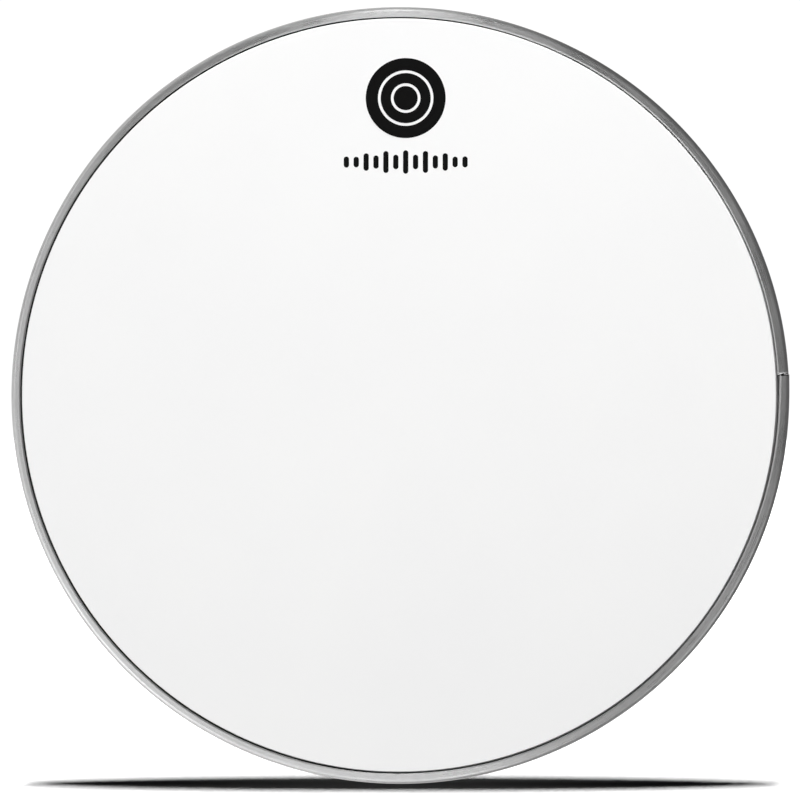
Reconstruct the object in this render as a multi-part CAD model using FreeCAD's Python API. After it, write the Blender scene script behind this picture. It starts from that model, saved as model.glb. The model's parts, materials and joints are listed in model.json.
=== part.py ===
import FreeCAD, Part
import math
import os

# Fourteen-inch drumhead: a white film held in a rolled aluminium hoop.
#
# Frame, in millimetres: +Z is up towards the printed mark and +X is to the right, seen from the
# playing side. The head's axis is Y, and the playing side faces -Y. The origin is on the axis, in
# the hoop's rear plane. A height is measured from that plane towards the playing side, along -Y.

# Hoop: one extruded channel, rolled to a ring, with its mouth on the playing side.
HOOP_OUTER_R = 185.5
HOOP_INNER_R = 179.0
HOOP_HEIGHT = 9.0
HOOP_WALL = 1.2
INNER_WALL = 0.9
INNER_WALL_HEIGHT = 6.5
FLANGE_LIP_R = 180.7
LIP_BEVEL_WIDTH = 0.7
LIP_BEVEL_DEPTH = 0.12
OUTER_FRONT_ROUND = 2.0
OUTER_REAR_ROUND = 0.5
INNER_WALL_ROUND = 0.35
CAVITY_ROUND = 0.3

# Butt joint where the hoop's two ends meet.
JOINT_ANGLE = 3.1
JOINT_GAP = 0.12

# Splice strap, bent along the outer wall inside the channel, across the joint.
SPLICE_HALF_ANGLE = 4.5
SPLICE_THICKNESS = 0.8
SPLICE_REAR = 1.8
SPLICE_FRONT = 6.9

# Film: flat playing face, a crease, a steep collar, and a hem round the core ring.
FILM_THICKNESS = 0.25
FILM_FRONT = 10.5
CREASE_R = 179.7
CREASE_ROUND = 0.5
HEM_FLOOR_GAP = 0.15
HEM_TAIL_HEIGHT = 4.8

# Core ring: round steel wire that the film's edge is wrapped round.
CORE_WIRE_R = 1.2
CORE_GAP = 1.5
CORE_GAP_ANGLE = 183.1

# Resin that locks the hem into the channel.
RESIN_LEVEL = 6.0

# Print on the playing face, all of it generic: a disc with two clear rings, and a row of bars.
INK_THICKNESS = 0.05
DISC_X = 3.2
DISC_Z = 141.9
DISC_R = 19.1
CLEAR_RING_RADII = (6.4, 12.6)
CLEAR_RING_WIDTH = 1.3
BAR_COUNT = 13
BAR_ROW_WIDTH = 59.2
BAR_WIDTH = 2.5
BAR_SHORTEST = 3.6
BAR_LONGEST = 11.2
SHORT_BAR_SHARE = 0.45
BAR_ROW_Z = 111.4

OUTER_WALL_INNER_R = HOOP_OUTER_R - HOOP_WALL
INNER_WALL_OUTER_R = HOOP_INNER_R + INNER_WALL
FLANGE_REAR = HOOP_HEIGHT - HOOP_WALL
HEM_OUTER_R = INNER_WALL_OUTER_R + FILM_THICKNESS
CORE_R = HEM_OUTER_R + CORE_WIRE_R
CORE_HEIGHT = HOOP_WALL + HEM_FLOOR_GAP + FILM_THICKNESS + CORE_WIRE_R

AXIS_POINT = FreeCAD.Vector(0, 0, 0)
AXIS = FreeCAD.Vector(0, 1, 0)
TINY = 1e-6


def at(radius, height):
    """The point of the section plane at a radius from the axis and a height above the rear plane."""
    return FreeCAD.Vector(radius, -height, 0)


def rounded_outline(corners):
    """A face of the section plane from (radius, height, round) corners.

    Each round is an arc in two halves, which keeps the surfaces turned from it short enough to mesh evenly.
    """
    count = len(corners)
    points = [at(radius, height) for radius, height, _ in corners]
    ends = []
    for i, (_, _, corner_round) in enumerate(corners):
        to_last = (points[i - 1] - points[i]).normalize()
        to_next = (points[(i + 1) % count] - points[i]).normalize()
        half_angle = to_last.getAngle(to_next) / 2
        setback = corner_round / math.tan(half_angle)
        bisector = (to_last + to_next).normalize()
        reach = corner_round / math.sin(half_angle) - corner_round
        start = points[i] + to_last * setback
        middle = points[i] + bisector * reach
        end = points[i] + to_next * setback
        ends.append((start, middle, end))
    edges = []
    for i, (start, middle, end) in enumerate(ends):
        if (end - start).Length > TINY:
            arc = Part.Arc(start, middle, end)
            half_way = (arc.FirstParameter + arc.LastParameter) / 2
            edges.append(arc.toShape(arc.FirstParameter, half_way))
            edges.append(arc.toShape(half_way, arc.LastParameter))
        next_start = ends[(i + 1) % count][0]
        if (next_start - end).Length > TINY:
            edges.append(Part.makeLine(end, next_start))
    return Part.Face(Part.Wire(edges))


def lathe(face, start_angle=0, sweep=360):
    """A section face turned about the axis. Angles run from +X towards +Z."""
    turned = face.revolve(AXIS_POINT, AXIS, -sweep)
    turned.rotate(AXIS_POINT, AXIS, -start_angle)
    return turned


def hoop_channel():
    """Channel section: inner wall, floor, outer wall, and a front flange with a bevelled lip."""
    section = rounded_outline(
        [
            (HOOP_INNER_R, 0, 0),
            (HOOP_OUTER_R, 0, OUTER_REAR_ROUND),
            (HOOP_OUTER_R, HOOP_HEIGHT, OUTER_FRONT_ROUND),
            (FLANGE_LIP_R + LIP_BEVEL_WIDTH, HOOP_HEIGHT, 0),
            (FLANGE_LIP_R, HOOP_HEIGHT - LIP_BEVEL_DEPTH, 0),
            (FLANGE_LIP_R, FLANGE_REAR, 0),
            (OUTER_WALL_INNER_R, FLANGE_REAR, OUTER_FRONT_ROUND - HOOP_WALL),
            (OUTER_WALL_INNER_R, HOOP_WALL, CAVITY_ROUND),
            (INNER_WALL_OUTER_R, HOOP_WALL, CAVITY_ROUND),
            (INNER_WALL_OUTER_R, INNER_WALL_HEIGHT, INNER_WALL_ROUND),
            (HOOP_INNER_R, INNER_WALL_HEIGHT, INNER_WALL_ROUND),
        ]
    )
    slit_angle = math.degrees(JOINT_GAP / HOOP_OUTER_R)
    return lathe(section, JOINT_ANGLE + slit_angle / 2, 360 - slit_angle)


def joint_splice():
    """Strap against the outer wall's inner face, centred on the joint."""
    section = rounded_outline(
        [
            (OUTER_WALL_INNER_R - SPLICE_THICKNESS, SPLICE_REAR, 0),
            (OUTER_WALL_INNER_R, SPLICE_REAR, 0),
            (OUTER_WALL_INNER_R, SPLICE_FRONT, 0),
            (OUTER_WALL_INNER_R - SPLICE_THICKNESS, SPLICE_FRONT, 0),
        ]
    )
    return lathe(section, JOINT_ANGLE - SPLICE_HALF_ANGLE, 2 * SPLICE_HALF_ANGLE)


def core_ring():
    """Round wire bent to a ring, with a small gap between its ends."""
    wire = Part.Circle(at(CORE_R, CORE_HEIGHT), FreeCAD.Vector(0, 0, 1), CORE_WIRE_R).toShape()
    gap_angle = math.degrees(CORE_GAP / CORE_R)
    return lathe(Part.Face(Part.Wire(wire)), CORE_GAP_ANGLE + gap_angle / 2, 360 - gap_angle)


def film_membrane():
    """The film's whole section, from the axis to the hem's cut edge, turned to one skin."""
    tail_r = CORE_R + CORE_WIRE_R
    hem_floor = CORE_HEIGHT - CORE_WIRE_R
    hem_round = CORE_WIRE_R + FILM_THICKNESS
    section = rounded_outline(
        [
            (0, FILM_FRONT, 0),
            (CREASE_R, FILM_FRONT, CREASE_ROUND),
            (HEM_OUTER_R, INNER_WALL_HEIGHT, 0),
            (HEM_OUTER_R, hem_floor, CORE_WIRE_R),
            (tail_r, hem_floor, CORE_WIRE_R),
            (tail_r, HEM_TAIL_HEIGHT, 0),
            (tail_r + FILM_THICKNESS, HEM_TAIL_HEIGHT, 0),
            (tail_r + FILM_THICKNESS, hem_floor - FILM_THICKNESS, hem_round),
            (INNER_WALL_OUTER_R, hem_floor - FILM_THICKNESS, hem_round),
            (INNER_WALL_OUTER_R, INNER_WALL_HEIGHT, 0),
            (CREASE_R - FILM_THICKNESS, FILM_FRONT - FILM_THICKNESS, CREASE_ROUND - FILM_THICKNESS),
            (0, FILM_FRONT - FILM_THICKNESS, 0),
        ]
    )
    return lathe(section)


def resin_bead(inserts):
    """Resin filling the channel up to its level, round everything that is set in it."""
    section = rounded_outline(
        [
            (INNER_WALL_OUTER_R, HOOP_WALL, CAVITY_ROUND),
            (OUTER_WALL_INNER_R, HOOP_WALL, CAVITY_ROUND),
            (OUTER_WALL_INNER_R, RESIN_LEVEL, 0),
            (INNER_WALL_OUTER_R, RESIN_LEVEL, 0),
        ]
    )
    bead = lathe(section)
    for insert in inserts:
        bead = bead.cut(insert)
    return max(bead.Solids, key=lambda solid: solid.Volume)


def ink(x, z, radius):
    """A disc of ink on the playing face."""
    centre = FreeCAD.Vector(x, -FILM_FRONT, z)
    return Part.makeCylinder(radius, INK_THICKNESS, centre, FreeCAD.Vector(0, -1, 0))


def print_disc():
    """The printed disc's inner spot and its bands, parted by clear rings."""
    pieces = {}
    inner_r = 0
    for i, clear_r in enumerate((*CLEAR_RING_RADII, None)):
        outer_r = DISC_R if clear_r is None else clear_r - CLEAR_RING_WIDTH / 2
        band = ink(DISC_X, DISC_Z, outer_r)
        if inner_r:
            band = band.cut(ink(DISC_X, DISC_Z, inner_r)).Solids[0]
        pieces["print_disc_spot" if i == 0 else f"print_disc_band_{i}"] = band
        inner_r = outer_r + CLEAR_RING_WIDTH
    return pieces


def print_bars():
    """A row of upright bars with round ends: long and short ones in turn, fading to both sides."""
    pieces = {}
    pitch = (BAR_ROW_WIDTH - BAR_WIDTH) / (BAR_COUNT - 1)
    for i in range(BAR_COUNT):
        place = i - (BAR_COUNT - 1) / 2
        x = DISC_X + place * pitch
        fade = math.cos(math.pi * place / (BAR_COUNT + 1))
        swing = fade if place % 2 == 0 else fade * SHORT_BAR_SHARE
        length = BAR_SHORTEST + (BAR_LONGEST - BAR_SHORTEST) * swing
        straight = length - BAR_WIDTH
        corner = FreeCAD.Vector(x - BAR_WIDTH / 2, -FILM_FRONT - INK_THICKNESS, BAR_ROW_Z - straight / 2)
        bar = Part.makeBox(BAR_WIDTH, INK_THICKNESS, straight, corner)
        for end in (-1, 1):
            bar = bar.fuse(ink(x, BAR_ROW_Z + end * straight / 2, BAR_WIDTH / 2))
        pieces[f"print_bar_{i + 1:02d}"] = bar.removeSplitter().Solids[0]
    return pieces


film = film_membrane()
core = core_ring()
splice = joint_splice()
nodes = {
    "hoop_channel": hoop_channel(),
    "joint_splice": splice,
    "core_ring": core,
    "resin_bead": resin_bead([film, core, splice]),
    "film_membrane": film,
    **print_disc(),
    **print_bars(),
}

os.makedirs("parts", exist_ok=True)
for name, shape in nodes.items():
    shape.exportStep(f"parts/{name}.step")
    print(f"{name}: {len(shape.Solids)} solid, {shape.Volume:.1f} mm3, valid {shape.isValid()}")
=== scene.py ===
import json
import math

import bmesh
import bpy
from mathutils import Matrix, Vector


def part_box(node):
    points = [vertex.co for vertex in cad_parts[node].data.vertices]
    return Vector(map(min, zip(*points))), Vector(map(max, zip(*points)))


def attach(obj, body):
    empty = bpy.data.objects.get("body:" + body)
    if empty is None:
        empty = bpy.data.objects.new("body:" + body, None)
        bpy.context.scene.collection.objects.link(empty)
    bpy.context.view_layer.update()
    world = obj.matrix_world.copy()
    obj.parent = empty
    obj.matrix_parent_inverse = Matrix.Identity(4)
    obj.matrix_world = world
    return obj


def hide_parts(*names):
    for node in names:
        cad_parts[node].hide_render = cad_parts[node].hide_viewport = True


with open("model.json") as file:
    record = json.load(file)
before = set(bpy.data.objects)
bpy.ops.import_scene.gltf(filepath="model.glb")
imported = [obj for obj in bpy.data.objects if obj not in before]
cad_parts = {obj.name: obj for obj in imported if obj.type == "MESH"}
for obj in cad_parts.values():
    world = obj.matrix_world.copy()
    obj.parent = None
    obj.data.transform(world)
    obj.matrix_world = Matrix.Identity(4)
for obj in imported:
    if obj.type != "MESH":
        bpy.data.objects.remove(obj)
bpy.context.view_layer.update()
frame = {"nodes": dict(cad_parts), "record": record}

# A fourteen-inch drumhead standing on its rim on a white floor, seen almost straight on.
#
# Lengths are metres in the frame's own axes: the head's axis is Y and its playing side faces -Y.
# A height is measured from the hoop's rear plane towards the playing side. An angle round the
# axis is measured from +X towards +Z.

MM = 0.001
mounts = {mount["name"]: mount for mount in frame["record"]["mounts"]}

# Main sizes, read from the frame.
HOOP_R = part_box("hoop_channel")[1].x
HOOP_FRONT = -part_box("hoop_channel")[0].y
BORE_R = mounts["shell_bore"]["dims"]["r_mm"] * MM
FILM_FRONT = -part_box("film_membrane")[0].y
RESIN_FRONT = -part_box("resin_bead")[0].y
FLOOR_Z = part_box("hoop_channel")[0].z

# The hoop's section.
WALL = 1.2 * MM
INNER_WALL = 0.9 * MM
INNER_WALL_FRONT = 6.5 * MM
INNER_WALL_ROUND = 0.35 * MM
LIP_R = HOOP_R - 4.85 * MM
LIP_BEVEL = Vector((0.7 * MM, 0.12 * MM))
CROWN = 0.25 * MM
SHOULDER_ROUND = 2.0 * MM
REAR_ROUND = 0.5 * MM
EDGE_ROUND = 0.1 * MM

# The butt joint.
JOINT_ANGLE = math.radians(3.1)
JOINT_GAP = 0.12 * MM
END_STEP = 0.35 * MM
END_STEP_LENGTH = 9 * MM
END_BEVEL = 0.2 * MM
BURR_HEIGHT = 0.2 * MM
BURR_LENGTH = 0.9 * MM
WORN_LEAN = 0.8 * MM
WORN_LENGTH = 40 * MM
# Where the black painted shade of the joint's outer notch runs, measured across the section.
SHADED_NOTCH_ACROSS = 14.9 * MM

# Out of true: the rings are a little wide for their height, and the film and the lip sit off centre.
OVAL = 0.25 * MM
OFF_CENTRE = Vector((-0.4 * MM, 0.08 * MM))

# The film's section.
FILM_THICKNESS = 0.25 * MM
CREASE_R = HOOP_R - 5.8 * MM
CREASE_ROUND = 0.4 * MM
TAIL_HEIGHT = 4.8 * MM

# The print's soft edge.
INK_EDGE = 0.02 * MM

# Steps round a whole turn, for the rings, the printed disc and the stage's oval card.
RING_STEPS = 600
DISC_STEPS = 240
CARD_STEPS = 96

# The picture is this much wider than the hoop.
VIEW_MARGIN = 1.03053

# How far the camera stands to the right of the head's axis.
CAMERA_TURN = math.radians(3.0)


# ---------------------------------------------------------------- mesh tools


def rounded(corners):
    """Section points from (radius, height, round) corners, each rounded corner as a fine arc."""
    points = []
    for i, (radius, height, corner_round) in enumerate(corners):
        here = Vector((radius, height))
        to_last = (Vector(corners[i - 1][:2]) - here).normalized()
        to_next = (Vector(corners[(i + 1) % len(corners)][:2]) - here).normalized()
        if corner_round == 0:
            points.append(here)
            continue
        half = to_last.angle(to_next) / 2
        centre = here + (to_last + to_next).normalized() * corner_round / math.sin(half)
        start = here + to_last * corner_round / math.tan(half) - centre
        end = here + to_next * corner_round / math.tan(half) - centre
        first = math.atan2(start.y, start.x)
        turn = (math.atan2(end.y, end.x) - first + math.pi) % (2 * math.pi) - math.pi
        steps = max(3, round(abs(turn) / math.radians(12)))
        for k in range(steps + 1):
            angle = first + turn * k / steps
            points.append(centre + Vector((math.cos(angle), math.sin(angle))) * corner_round)
    return points


def divided(points, longest, margin=0.05 * MM):
    """The closed section with long runs cut, and a point close to each end of a run to hold it flat."""
    result = []
    for i, here in enumerate(points):
        following = points[(i + 1) % len(points)]
        run = following - here
        result.append(here)
        if run.length < 4 * margin:
            continue
        direction = run.normalized()
        cuts = math.ceil(run.length / longest)
        result.append(here + direction * margin)
        result += [here + run * k / cuts for k in range(1, cuts)]
        result.append(following - direction * margin)
    return result


def place(radius, height, angle, centre=(0, 0)):
    """The point at a radius, height and angle about an axis along Y through centre, an (x, z) pair."""
    return Vector((centre[0] + radius * math.cos(angle), -height, centre[1] + radius * math.sin(angle)))


def lathe(section, angles, closed, centre=(0, 0), shape=None, end_bevel=0):
    """A section turned about an axis along Y. Its UV map is in metres, along and across."""
    bm = bmesh.new()
    uv = bm.loops.layers.uv.new("surface")
    across = [0.0]
    for i, point in enumerate(section):
        across.append(across[-1] + (section[(i + 1) % len(section)] - point).length)
    rows = []
    for angle in angles:
        ring = [shape(p, angle) if shape else p for p in section]
        rows.append([bm.verts.new(place(p.x, p.y, angle, centre)) for p in ring])
    spans = len(rows) if closed else len(rows) - 1
    radius = max(p.x for p in section)
    stops = [*angles, angles[0] + 2 * math.pi]
    for i in range(spans):
        start, end = stops[i] * radius, stops[i + 1] * radius
        this, other = rows[i], rows[(i + 1) % len(rows)]
        for j in range(len(section)):
            k = (j + 1) % len(section)
            face = bm.faces.new((this[j], this[k], other[k], other[j]))
            corners = ((start, across[j]), (start, across[j + 1]), (end, across[j + 1]), (end, across[j]))
            for loop, corner in zip(face.loops, corners):
                loop[uv].uv = corner
    if not closed:
        caps = [bm.faces.new(rows[0]), bm.faces.new(rows[-1])]
        if end_bevel:
            edges = list({edge for cap in caps for edge in cap.edges})
            bmesh.ops.bevel(bm, geom=edges, offset=end_bevel, segments=2, profile=0.6, affect="EDGES")
    bmesh.ops.remove_doubles(bm, verts=bm.verts, dist=1e-7)
    bmesh.ops.recalc_face_normals(bm, faces=bm.faces)
    return bm


def finished_mesh(bm, name, sharp=35):
    mesh = bpy.data.meshes.new(name)
    bm.to_mesh(mesh)
    bm.free()
    for polygon in mesh.polygons:
        polygon.use_smooth = True
    mesh.set_sharp_from_angle(angle=math.radians(sharp))
    return mesh


def add_piece(bm, name, node, material, sharp=35):
    """Puts a finished piece in the scene in place of a CAD node."""
    piece = bpy.data.objects.new(name, finished_mesh(bm, name, sharp))
    bpy.context.scene.collection.objects.link(piece)
    piece.data.materials.append(material)
    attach(piece, "root")
    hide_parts(node)
    return piece


def ring_angles(steps, start=0.0, sweep=2 * math.pi, ends=()):
    """Even angles round the axis, with extra ones at the given arc lengths from both ends."""
    count = steps if math.isclose(sweep, 2 * math.pi) else steps + 1
    angles = [start + sweep * i / steps for i in range(count)]
    for length in ends:
        angles += [start + length / HOOP_R, start + sweep - length / HOOP_R]
    return sorted(angles)


def waver(angle, size, seed):
    """A small smooth wander round the ring, as hand-set and rolled parts have."""
    waves = ((3, 1.0), (7, 2.3), (16, 4.1))
    return size * sum(math.sin(count * angle + shift * seed) for count, shift in waves) / len(waves)


def oval(angle):
    """How far the rings stand out at an angle: most at the sides, nothing at the top and bottom."""
    return OVAL * (1 + math.cos(2 * angle))


def off_centre(angle):
    """How far the film's and the lip's circles stand out at an angle because they are off centre."""
    return OFF_CENTRE.x * math.cos(angle) + OFF_CENTRE.y * math.sin(angle)


# ---------------------------------------------------------------- materials


class Surface:
    """A Principled material and short calls for the nodes that feed it."""

    def __init__(self, name, **fixed):
        self.material = bpy.data.materials.new(name)
        self.material.use_nodes = True
        self.tree = self.material.node_tree
        self.shader = self.tree.nodes["Principled BSDF"]
        for socket, value in fixed.items():
            self.shader.inputs[socket.replace("_", " ")].default_value = value

    def add(self, kind, inputs=None, **settings):
        made = self.tree.nodes.new(kind)
        for name, value in settings.items():
            setattr(made, name, value)
        for name, value in (inputs or {}).items():
            self.feed(made.inputs[name], value)
        return made

    def feed(self, socket, value):
        if isinstance(value, bpy.types.NodeSocket):
            self.tree.links.new(value, socket)
        else:
            socket.default_value = value

    def drive(self, socket, value):
        self.feed(self.shader.inputs[socket], value)

    def stretched(self, source, scale):
        return self.add("ShaderNodeMapping", {"Vector": source, "Scale": scale}).outputs["Vector"]

    def noise(self, vector, scale=1.0, detail=4.0, roughness=0.55):
        inputs = {"Vector": vector, "Scale": scale, "Detail": detail, "Roughness": roughness}
        return self.add("ShaderNodeTexNoise", inputs).outputs["Fac"]

    def levels(self, value, from_low, from_high, to_low, to_high):
        ends = {"From Min": from_low, "From Max": from_high, "To Min": to_low, "To Max": to_high}
        return self.add("ShaderNodeMapRange", {"Value": value, **ends}).outputs["Result"]

    def blend(self, factor, first, second):
        made = self.add("ShaderNodeMix", data_type="RGBA")
        self.feed(made.inputs[0], factor)
        self.feed(made.inputs[6], first)
        self.feed(made.inputs[7], second)
        return made.outputs[2]

    def maths(self, operation, first, second):
        made = self.add("ShaderNodeMath", operation=operation)
        self.feed(made.inputs[0], first)
        self.feed(made.inputs[1], second)
        return made.outputs[0]

    def bump(self, height, distance, strength=1.0, below=None):
        made = self.add("ShaderNodeBump", {"Height": height, "Distance": distance, "Strength": strength})
        if below is not None:
            self.feed(made.inputs["Normal"], below)
        return made.outputs["Normal"]


def grey(value, alpha=1.0):
    return (value, value, value, alpha)


def hoop_metal():
    """Bare aluminium with fine lines drawn round the ring, short scuffs and dull patches; at the butt
    joint, dark grime specks and a black painted shade where the outer notch lies in shadow.
    """
    s = Surface("hoop_metal", Anisotropic=0.85, Anisotropic_Rotation=0.25)
    s.drive("Tangent", s.add("ShaderNodeTangent", direction_type="RADIAL", axis="Y").outputs["Tangent"])
    surface = s.add("ShaderNodeUVMap", uv_map="surface").outputs["UV"]
    lines = s.noise(s.stretched(surface, (14, 4200, 1)), detail=6, roughness=0.7)
    scuffs = s.noise(s.stretched(surface, (260, 2600, 1)), detail=3)
    patches = s.noise(s.stretched(surface, (38, 190, 1)), detail=3)
    tone = s.maths("ADD", s.maths("MULTIPLY", lines, 0.65), s.maths("MULTIPLY", scuffs, 0.35))
    drawn = s.blend(s.levels(tone, 0.3, 0.7, 0, 1), grey(0.46), grey(0.74))
    along, across, _ = s.add("ShaderNodeSeparateXYZ", {0: surface}).outputs
    from_upper = s.maths("SUBTRACT", along, (JOINT_ANGLE + JOINT_GAP / HOOP_R / 2) * HOOP_R)
    from_lower = s.maths("SUBTRACT", (JOINT_ANGLE + 2 * math.pi - JOINT_GAP / HOOP_R / 2) * HOOP_R, along)
    local = s.add("ShaderNodeTexCoord").outputs["Object"]
    specks = s.noise(local, scale=520, detail=1)
    chips = s.noise(local, scale=750, detail=1)
    near_upper = s.levels(from_upper, 0.7 * MM, 1.3 * MM, 1, 0)
    ragged = s.maths("MULTIPLY", s.levels(chips, 0.4, 0.6, 0.3, 0.8), near_upper)
    burred = s.blend(ragged, drawn, grey(0.7))
    from_end = s.maths("MINIMUM", from_upper, from_lower)
    # Painted shade: a black band across the outer corner next to the joint stands in for the shadow in the
    # notch there.
    from_notch_shade = s.maths("ABSOLUTE", s.maths("SUBTRACT", across, SHADED_NOTCH_ACROSS), 0)
    notch_shade = s.levels(from_notch_shade, 0.4 * MM, 0.8 * MM, 1, 0)
    specks_and_notch_shade = s.maths("MAXIMUM", s.levels(specks, 0.48, 0.52, 0.1, 1), notch_shade)
    # Near both ends of the joint: real grime specks, together with the painted notch shade, all in black.
    grime_and_notch_shade = s.maths("MULTIPLY", specks_and_notch_shade, s.levels(from_end, 0.45 * MM, 0.7 * MM, 1, 0))
    s.drive("Base Color", s.blend(grime_and_notch_shade, burred, grey(0.01)))
    s.drive("Metallic", s.levels(ragged, 0, 1, 1, 0.3))
    rough = s.maths("ADD", s.maths("ADD", patches, lines), ragged)
    s.drive("Roughness", s.levels(rough, 0.6, 1.4, 0.22, 0.38))
    fine = s.bump(lines, 0.012 * MM)
    s.drive("Normal", s.bump(scuffs, 0.008 * MM, below=fine))
    return s.material


def film_plastic():
    """White film: a smooth satin sheet with a hardly visible grain and handling marks."""
    s = Surface("film_plastic", IOR=1.5, Coat_Weight=0.25, Coat_Roughness=0.12)
    local = s.add("ShaderNodeTexCoord").outputs["Object"]
    clouds = s.noise(local, scale=9, detail=3)
    grain = s.noise(local, scale=1400, detail=2)
    rubbed = s.noise(s.stretched(local, (60, 60, 18)), scale=1, detail=4)
    s.drive("Base Color", s.blend(s.levels(clouds, 0.35, 0.65, 0, 1), grey(0.885), (0.9, 0.9, 0.897, 1)))
    s.drive("Roughness", s.levels(rubbed, 0.3, 0.7, 0.36, 0.5))
    s.drive("Normal", s.bump(grain, 0.002 * MM, strength=0.4))
    return s.material


def black_ink():
    """Screen-printed ink: dense black with a faint mesh texture and thin spots."""
    s = Surface("black_ink", IOR=1.45, Specular_IOR_Level=0.15)
    local = s.add("ShaderNodeTexCoord").outputs["Object"]
    cover = s.noise(local, scale=2600, detail=2)
    flow = s.noise(local, scale=240, detail=3)
    s.drive("Base Color", s.blend(s.levels(cover, 0.55, 0.8, 0, 1), grey(0.0012), grey(0.004)))
    s.drive("Roughness", s.levels(flow, 0.3, 0.7, 0.42, 0.6))
    s.drive("Normal", s.bump(cover, 0.004 * MM, strength=0.5))
    return s.material


def dark_resin():
    """Cast resin down in the slot: dark, uneven and slightly glossy."""
    s = Surface("dark_resin", IOR=1.5)
    local = s.add("ShaderNodeTexCoord").outputs["Object"]
    swirl = s.noise(local, scale=320, detail=4)
    s.drive("Base Color", s.blend(s.levels(swirl, 0.3, 0.7, 0, 1), grey(0.012), grey(0.03)))
    s.drive("Roughness", s.levels(swirl, 0.3, 0.7, 0.35, 0.6))
    s.drive("Normal", s.bump(swirl, 0.05 * MM, strength=0.6))
    return s.material


def drawn_steel():
    """Plain steel of the wire and the splice strap, with drawing lines."""
    s = Surface("drawn_steel", Metallic=1.0)
    local = s.add("ShaderNodeTexCoord").outputs["Object"]
    marks = s.noise(local, scale=900, detail=4)
    s.drive("Base Color", s.blend(s.levels(marks, 0.3, 0.7, 0, 1), grey(0.3), grey(0.45)))
    s.drive("Roughness", s.levels(marks, 0.3, 0.7, 0.3, 0.5))
    s.drive("Normal", s.bump(marks, 0.01 * MM, strength=0.5))
    return s.material


def pale_floor():
    """Matt floor. Seen from above it glows with painted light, a white emission that lightens the floor and
    keeps its shadow from going black.
    """
    s = Surface("pale_floor", Specular_IOR_Level=0.0)
    local = s.add("ShaderNodeTexCoord").outputs["Object"]
    clouds = s.noise(local, scale=1.5, detail=2)
    s.drive("Base Color", s.blend(clouds, grey(0.06), grey(0.063)))
    s.drive("Roughness", s.levels(clouds, 0, 1, 0.7, 0.8))
    # Painted light: the glow is strongest when the floor is seen from above and fades to nothing at grazing
    # views.
    grazing = s.add("ShaderNodeLayerWeight", {"Blend": 0.5}).outputs["Facing"]
    s.drive("Emission Color", grey(1.0))
    s.drive("Emission Strength", s.levels(grazing, 0.65, 0.92, 0.32, 0))
    return s.material


# ---------------------------------------------------------------- pieces


def make_hoop(material):
    """The channel ring, open at the butt joint: a burr on one end, a step and a worn lip on the other."""
    inner_wall_r = BORE_R + INNER_WALL
    section = rounded(
        [
            (BORE_R, 0, EDGE_ROUND),
            (HOOP_R, 0, REAR_ROUND),
            (HOOP_R, HOOP_FRONT - CROWN, SHOULDER_ROUND),
            (LIP_R + LIP_BEVEL.x, HOOP_FRONT, EDGE_ROUND),
            (LIP_R, HOOP_FRONT - LIP_BEVEL.y, EDGE_ROUND),
            (LIP_R, HOOP_FRONT - WALL, EDGE_ROUND),
            (HOOP_R - WALL, HOOP_FRONT - WALL, SHOULDER_ROUND - WALL),
            (HOOP_R - WALL, WALL, EDGE_ROUND),
            (inner_wall_r, WALL, EDGE_ROUND),
            (inner_wall_r, INNER_WALL_FRONT, INNER_WALL_ROUND),
            (BORE_R, INNER_WALL_FRONT, INNER_WALL_ROUND),
        ]
    )
    gap = JOINT_GAP / HOOP_R
    start = JOINT_ANGLE + gap / 2
    sweep = 2 * math.pi - gap
    end = start + sweep
    land_end = HOOP_R - SHOULDER_ROUND
    land = land_end - LIP_R - LIP_BEVEL.x

    def shape(point, angle):
        from_upper = (angle - start) * HOOP_R
        from_lower = (end - angle) * HOOP_R
        radius = point.x + oval(angle) + END_STEP * math.exp(-from_lower / END_STEP_LENGTH)
        height = point.y
        depth = HOOP_FRONT - point.y
        if depth < 2 * WALL and point.x < land_end:
            share = min(1, (land_end - point.x) / land)
            lean = WORN_LEAN * max(0, 1 - depth / WALL) * math.exp(-from_lower / WORN_LENGTH)
            radius += share * (lean + waver(angle, 0.08 * MM, 1.0) + off_centre(angle))
        if depth < WALL / 2:
            ragged = 0.6 + 0.4 * math.sin(point.x / (0.35 * MM))
            height += BURR_HEIGHT * ragged * math.exp(-from_upper / BURR_LENGTH)
        return Vector((radius, height))

    angles = ring_angles(RING_STEPS, start, sweep, ends=[0.3 * MM, 0.5 * MM, 0.8 * MM, 1.2 * MM])
    bm = lathe(divided(section, 2 * MM), angles, closed=False, shape=shape, end_bevel=END_BEVEL)
    return add_piece(bm, "hoop", "hoop_channel", material)


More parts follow.
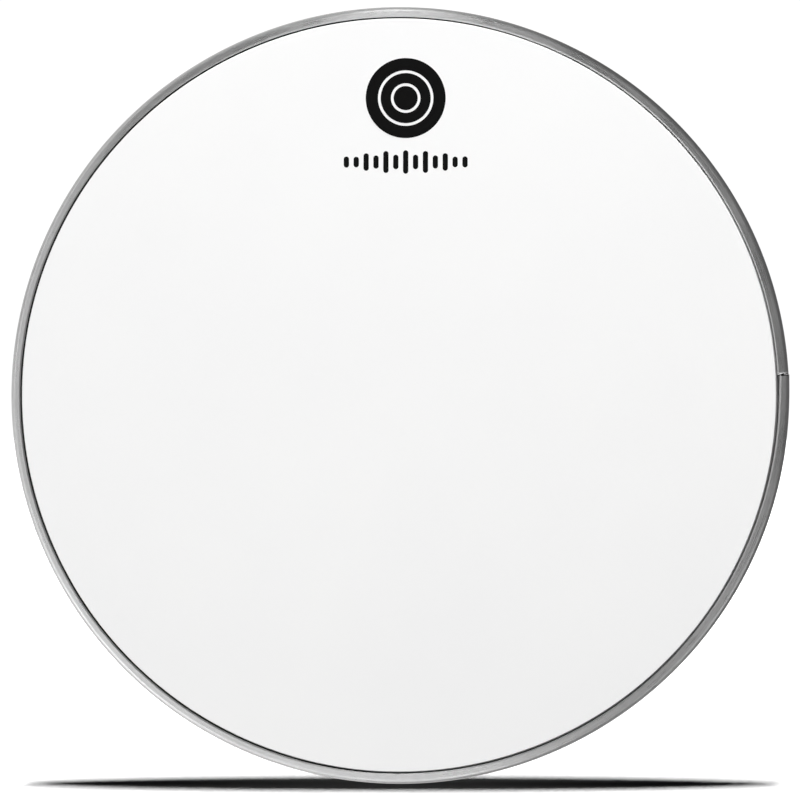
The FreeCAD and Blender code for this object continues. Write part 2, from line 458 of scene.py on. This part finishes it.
def make_film(material):
    """The film's skin: flat face, crease, collar, and the hem that wraps the core ring."""
    wire_low, wire_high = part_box("core_ring")
    wire_round = (wire_high.y - wire_low.y) / 2
    tail_r = wire_high.x
    hem_r = tail_r - 2 * wire_round
    hem_floor = -wire_high.y
    outer_round = wire_round + FILM_THICKNESS
    section = rounded(
        [
            (0, FILM_FRONT, 0),
            (CREASE_R, FILM_FRONT, CREASE_ROUND),
            (hem_r, INNER_WALL_FRONT, 0),
            (hem_r, hem_floor, wire_round * 0.99),
            (tail_r, hem_floor, wire_round * 0.99),
            (tail_r, TAIL_HEIGHT, 0),
            (tail_r + FILM_THICKNESS, TAIL_HEIGHT, 0),
            (tail_r + FILM_THICKNESS, hem_floor - FILM_THICKNESS, outer_round),
            (hem_r - FILM_THICKNESS, hem_floor - FILM_THICKNESS, outer_round),
            (hem_r - FILM_THICKNESS, INNER_WALL_FRONT, 0),
            (CREASE_R - FILM_THICKNESS, FILM_FRONT - FILM_THICKNESS, CREASE_ROUND - FILM_THICKNESS),
            (0, FILM_FRONT - FILM_THICKNESS, 0),
        ]
    )

    def shape(point, angle):
        raised = max(0, (point.y - INNER_WALL_FRONT) / (FILM_FRONT - INNER_WALL_FRONT))
        wander = waver(angle, 0.05 * MM, 2.6) + off_centre(angle)
        return Vector((point.x + (oval(angle) + raised * wander) * point.x / CREASE_R, point.y))

    bm = lathe(divided(section, 16 * MM), ring_angles(RING_STEPS), closed=True, shape=shape)
    return add_piece(bm, "film", "film_membrane", material)


def make_resin(material):
    """The resin's bead, with a skin that creeps up where it wets the film and the hoop."""
    low_r = BORE_R + INNER_WALL + FILM_THICKNESS
    high_r = HOOP_R - WALL
    creep = 0.35 * MM
    base = RESIN_FRONT - 1.5 * MM
    surface = [Vector((low_r + (high_r - low_r) * k / 12, 0)) for k in range(13)]
    for k, point in enumerate(surface):
        point.y = RESIN_FRONT - creep + creep * abs(k / 6 - 1) ** 3
    section = [*surface, Vector((high_r, base)), Vector((low_r, base))]

    def shape(point, angle):
        return Vector((point.x + oval(angle), point.y))

    bm = lathe(section, ring_angles(RING_STEPS), closed=True, shape=shape)
    return add_piece(bm, "resin", "resin_bead", material)


def make_print_disc(material):
    """The disc's spot and bands: round areas of ink with soft raised edges."""
    for name in ("print_disc_spot", "print_disc_band_1", "print_disc_band_2"):
        low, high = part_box(name)
        centre = ((low.x + high.x) / 2, (low.z + high.z) / 2)
        outer_r = (high.x - low.x) / 2
        inner_r = disc_inner_radius(name, centre)
        back, front = -high.y, -low.y
        inner_edge = INK_EDGE if inner_r else 0
        rims = [(outer_r, front, INK_EDGE), (inner_r, front, inner_edge)]
        corners = [(outer_r, back, 0), *rims, (inner_r, back, 0)]
        bm = lathe(divided(rounded(corners), 1.5 * MM), ring_angles(DISC_STEPS), closed=True, centre=centre)
        add_piece(bm, name.replace("print_", ""), name, material)


def disc_inner_radius(name, centre):
    """The hole's radius in a round CAD node, or 0 where there is none."""
    axis = Vector((centre[0], centre[1]))
    radii = [(Vector((v.co.x, v.co.z)) - axis).length for v in frame["nodes"][name].data.vertices]
    low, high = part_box(name)
    return min(radii) if min(radii) < 0.99 * (high.x - low.x) / 2 else 0


def stadium(half_width, half_length, x, z, y, steps=16):
    """The outline of an upright bar with round ends."""
    points = []
    for side, first in ((1, 0.0), (-1, math.pi)):
        for k in range(steps + 1):
            angle = first + math.pi * k / steps
            up = side * (half_length - half_width) + half_width * math.sin(angle)
            points.append(Vector((x + half_width * math.cos(angle), y, z + up)))
    return points


def make_print_bars(material):
    """The row of printed bars, each a thin plate of ink with a softened edge."""
    for name in sorted(n for n in frame["nodes"] if n.startswith("print_bar_")):
        low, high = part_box(name)
        x, z = (low.x + high.x) / 2, (low.z + high.z) / 2
        half_width, half_length = (high.x - low.x) / 2, (high.z - low.z) / 2
        softened = (0.3 * INK_EDGE, low.y + 0.3 * INK_EDGE)
        bm = bmesh.new()
        loops = []
        for inset, y in ((0, high.y), (0, low.y + INK_EDGE), softened, (INK_EDGE, low.y)):
            outline = stadium(half_width - inset, half_length - inset, x, z, y)
            loops.append([bm.verts.new(point) for point in outline])
        for this, other in zip(loops, loops[1:]):
            for j in range(len(this)):
                k = (j + 1) % len(this)
                bm.faces.new((this[j], this[k], other[k], other[j]))
        bm.faces.new(loops[0])
        bm.faces.new(loops[-1])
        bmesh.ops.recalc_face_normals(bm, faces=bm.faces)
        add_piece(bm, name.replace("print_", ""), name, material)


# ---------------------------------------------------------------- stage


def stage_sheet(name, corners, material):
    """A flat sheet of the stage that takes no part in the light on the head."""
    mesh = bpy.data.meshes.new(name)
    mesh.from_pydata(corners, [], [range(len(corners))])
    sheet = bpy.data.objects.new(name, mesh)
    bpy.context.scene.collection.objects.link(sheet)
    sheet.data.materials.append(material)
    sheet.visible_diffuse = False
    sheet.visible_glossy = False
    return sheet


def make_floor(material):
    reach = 40
    signs = ((-1, -1), (1, -1), (1, 1), (-1, 1))
    return stage_sheet("floor", [(x * reach, y * reach, FLOOR_Z) for x, y in signs], material)


def make_flag(material):
    """An oval card above the floor that only the suns are blocked by: it gives the long soft shadow."""
    half_width, half_depth, height = 183 * MM, 99 * MM, 115 * MM
    across = Vector((math.cos(CAMERA_TURN), math.sin(CAMERA_TURN)))
    away = Vector((-math.sin(CAMERA_TURN), math.cos(CAMERA_TURN)))
    corners = []
    for k in range(CARD_STEPS):
        angle = 2 * math.pi * k / CARD_STEPS
        spot = across * half_width * math.cos(angle) + away * half_depth * math.sin(angle)
        corners.append((spot.x + 1.6 * MM, spot.y - 7 * MM, FLOOR_Z + height))
    flag = stage_sheet("flag", corners, material)
    flag.visible_camera = False
    return flag


def make_world():
    """White to the camera, dim to matt surfaces, and a studio darker on its right to shiny ones."""
    world = bpy.data.worlds.new("studio")
    bpy.context.scene.world = world
    world.use_nodes = True
    tree = world.node_tree

    def node(kind, inputs, **settings):
        made = tree.nodes.new(kind)
        for name, value in settings.items():
            setattr(made, name, value)
        for key, value in inputs.items():
            if isinstance(value, bpy.types.NodeSocket):
                tree.links.new(value, made.inputs[key])
            else:
                made.inputs[key].default_value = value
        return made

    def ramp(value, low, high, to_low=0.0, to_high=1.0):
        ends = {"Value": value, "From Min": low, "From Max": high, "To Min": to_low, "To Max": to_high}
        return node("ShaderNodeMapRange", ends, interpolation_type="SMOOTHSTEP").outputs["Result"]

    def maths(operation, first, second):
        return node("ShaderNodeMath", {0: first, 1: second}, operation=operation).outputs[0]

    toward = node("ShaderNodeSeparateXYZ", {0: node("ShaderNodeTexCoord", {}).outputs["Generated"]})
    x, y, z = toward.outputs
    behind = ramp(y, -0.15, 0.4)
    below = maths("MULTIPLY", ramp(z, -0.8, -0.35, 1.0, 0.0), ramp(x, -0.1, 0.5, 0.8, 0.2))
    up_right = maths("ADD", maths("MULTIPLY", x, 0.94), maths("MULTIPLY", z, 0.34))
    down_left = maths("ADD", maths("MULTIPLY", x, -0.8), maths("MULTIPLY", z, -0.6))
    lit = maths("MULTIPLY", maths("MAXIMUM", behind, below), ramp(up_right, 0.1, 0.6, 1.0, 0.08))
    lit = maths("MAXIMUM", lit, ramp(down_left, 0.35, 0.95))
    up_left = maths("ADD", maths("MULTIPLY", x, -0.6), maths("MULTIPLY", z, 0.8))
    lit = maths("MAXIMUM", lit, ramp(up_left, 0.3, 0.9, 0.0, 0.6))
    above = maths("SUBTRACT", z, maths("MULTIPLY", x, 0.2))
    lit = maths("MAXIMUM", lit, ramp(above, 0.9, 1.0, 0.0, 0.6))
    under = maths("SUBTRACT", maths("MULTIPLY", x, 0.25), maths("MULTIPLY", z, 0.97))
    lit = maths("MULTIPLY", lit, ramp(under, 0.85, 0.98, 1.0, 0.25))
    studio = node("ShaderNodeBackground", {"Color": grey(1.0), "Strength": ramp(lit, 0, 1, 0.15, 0.95)})
    dim = node("ShaderNodeBackground", {"Color": grey(1.0), "Strength": 0.04})
    white = node("ShaderNodeBackground", {"Color": grey(1.0), "Strength": 1.05})
    path = node("ShaderNodeLightPath", {})
    glossy, camera = path.outputs["Is Glossy Ray"], path.outputs["Is Camera Ray"]
    seen = node("ShaderNodeMixShader", {0: glossy, 1: dim.outputs[0], 2: studio.outputs[0]})
    final = node("ShaderNodeMixShader", {0: camera, 1: seen.outputs[0], 2: white.outputs[0]})
    tree.links.new(final.outputs[0], tree.nodes["World Output"].inputs["Surface"])


def only(name, shown=(), hidden=()):
    """A collection for light linking: lights the shown things, or everything but the hidden ones."""
    group = bpy.data.collections.new(name)
    for thing in (*shown, *hidden):
        group.objects.link(thing)
    for entry in group.collection_objects[len(shown):]:
        entry.light_linking.link_state = "EXCLUDE"
    return group


def area_light(name, place_at, size, radiance, linked, diffuse=True, glossy=True):
    """A soft box of a width, height and radiance, aimed at the origin, for the linked things alone."""
    light = bpy.data.lights.new(name, "AREA")
    light.shape = "RECTANGLE"
    light.size, light.size_y = size
    light.energy = radiance * math.pi * size[0] * size[1]
    lamp = bpy.data.objects.new(name, light)
    bpy.context.scene.collection.objects.link(lamp)
    lamp.location = place_at
    lamp.rotation_euler = (-Vector(place_at)).to_track_quat("-Z", "Y").to_euler()
    lamp.visible_camera = False
    lamp.visible_diffuse = diffuse
    lamp.visible_glossy = glossy
    lamp.light_linking.receiver_collection = linked
    lamp.light_linking.blocker_collection = linked


def polar(off_axis, angle, distance):
    """A point at a distance from the head's centre, off the viewing axis towards an angle round it."""
    off, turn = math.radians(off_axis), math.radians(angle)
    side = math.sin(off) * distance
    return (side * math.cos(turn), -math.cos(off) * distance, side * math.sin(turn))


def make_lights(floor, flag):
    """Film: a fill and a light above. Metal: cards. Floor: a row of suns, from front to back overhead."""
    head = only("head_only", hidden=[floor, flag])
    area_light("front_fill", (-0.25, -3.6, 0.48), (1.6, 1.34), 17.5, head, glossy=False)
    area_light("collar_light", (0.25, -0.12, 1.1), (0.2, 0.2), 125.0, head, glossy=False)
    area_light("back_fill", (0.6, 2.6, 0.9), (2.0, 2.0), 8.0, head, glossy=False)
    area_light("card_top", polar(32, 95.5, 2.4), (0.16, 1.6), 4.6, head, diffuse=False)
    area_light("card_upper_left", polar(38, 145, 2.4), (0.8, 0.8), 1.05, head, diffuse=False)
    area_light("card_bottom", polar(28, 262, 2.4), (1.0, 1.4), 1.45, head, diffuse=False)
    area_light("card_left", polar(32, 190, 2.4), (1.2, 1.5), 1.35, head, diffuse=False)
    area_light("card_lower_left", polar(40, 225, 2.4), (1.1, 1.1), 1.5, head, diffuse=False)
    area_light("card_lower_right", polar(35, 322, 2.4), (1.0, 1.0), 0.95, head, diffuse=False)
    floor_only = only("floor_only", shown=[floor])
    flag_only = only("flag_only", shown=[flag])
    for tilt in range(-20, 21, 4):
        sun = bpy.data.lights.new(f"floor_sun_{tilt}", "SUN")
        sun.energy = 7.9
        sun.angle = math.radians(3.5)
        lamp = bpy.data.objects.new(f"floor_sun_{tilt}", sun)
        bpy.context.scene.collection.objects.link(lamp)
        lamp.rotation_euler = (math.radians(tilt), 0, 0)
        lamp.light_linking.receiver_collection = floor_only
        lamp.light_linking.blocker_collection = flag_only


def make_camera():
    """A long lens, a little to the right of the head's axis and level with it."""
    distance = 4.5
    view_width = 2 * HOOP_R * VIEW_MARGIN
    aim = Vector((0.17 * MM, -HOOP_FRONT / 2, -2.2 * MM))
    data = bpy.data.cameras.new("camera")
    data.sensor_width = 36
    data.lens = data.sensor_width * distance / view_width
    camera = bpy.data.objects.new("camera", data)
    bpy.context.scene.collection.objects.link(camera)
    camera.location = aim + Vector((math.sin(CAMERA_TURN), -math.cos(CAMERA_TURN), 0)) * distance
    camera.rotation_euler = (aim - camera.location).to_track_quat("-Z", "Y").to_euler()
    bpy.context.scene.camera = camera


ink = black_ink()
steel = drawn_steel()
make_hoop(hoop_metal())
make_film(film_plastic())
make_resin(dark_resin())
make_print_disc(ink)
make_print_bars(ink)
for name in ("core_ring", "joint_splice"):
    frame["nodes"][name].data.materials[0] = steel

make_world()
paint = pale_floor()
make_lights(make_floor(paint), make_flag(paint))
make_camera()
bpy.context.scene.view_settings.view_transform = "Standard"
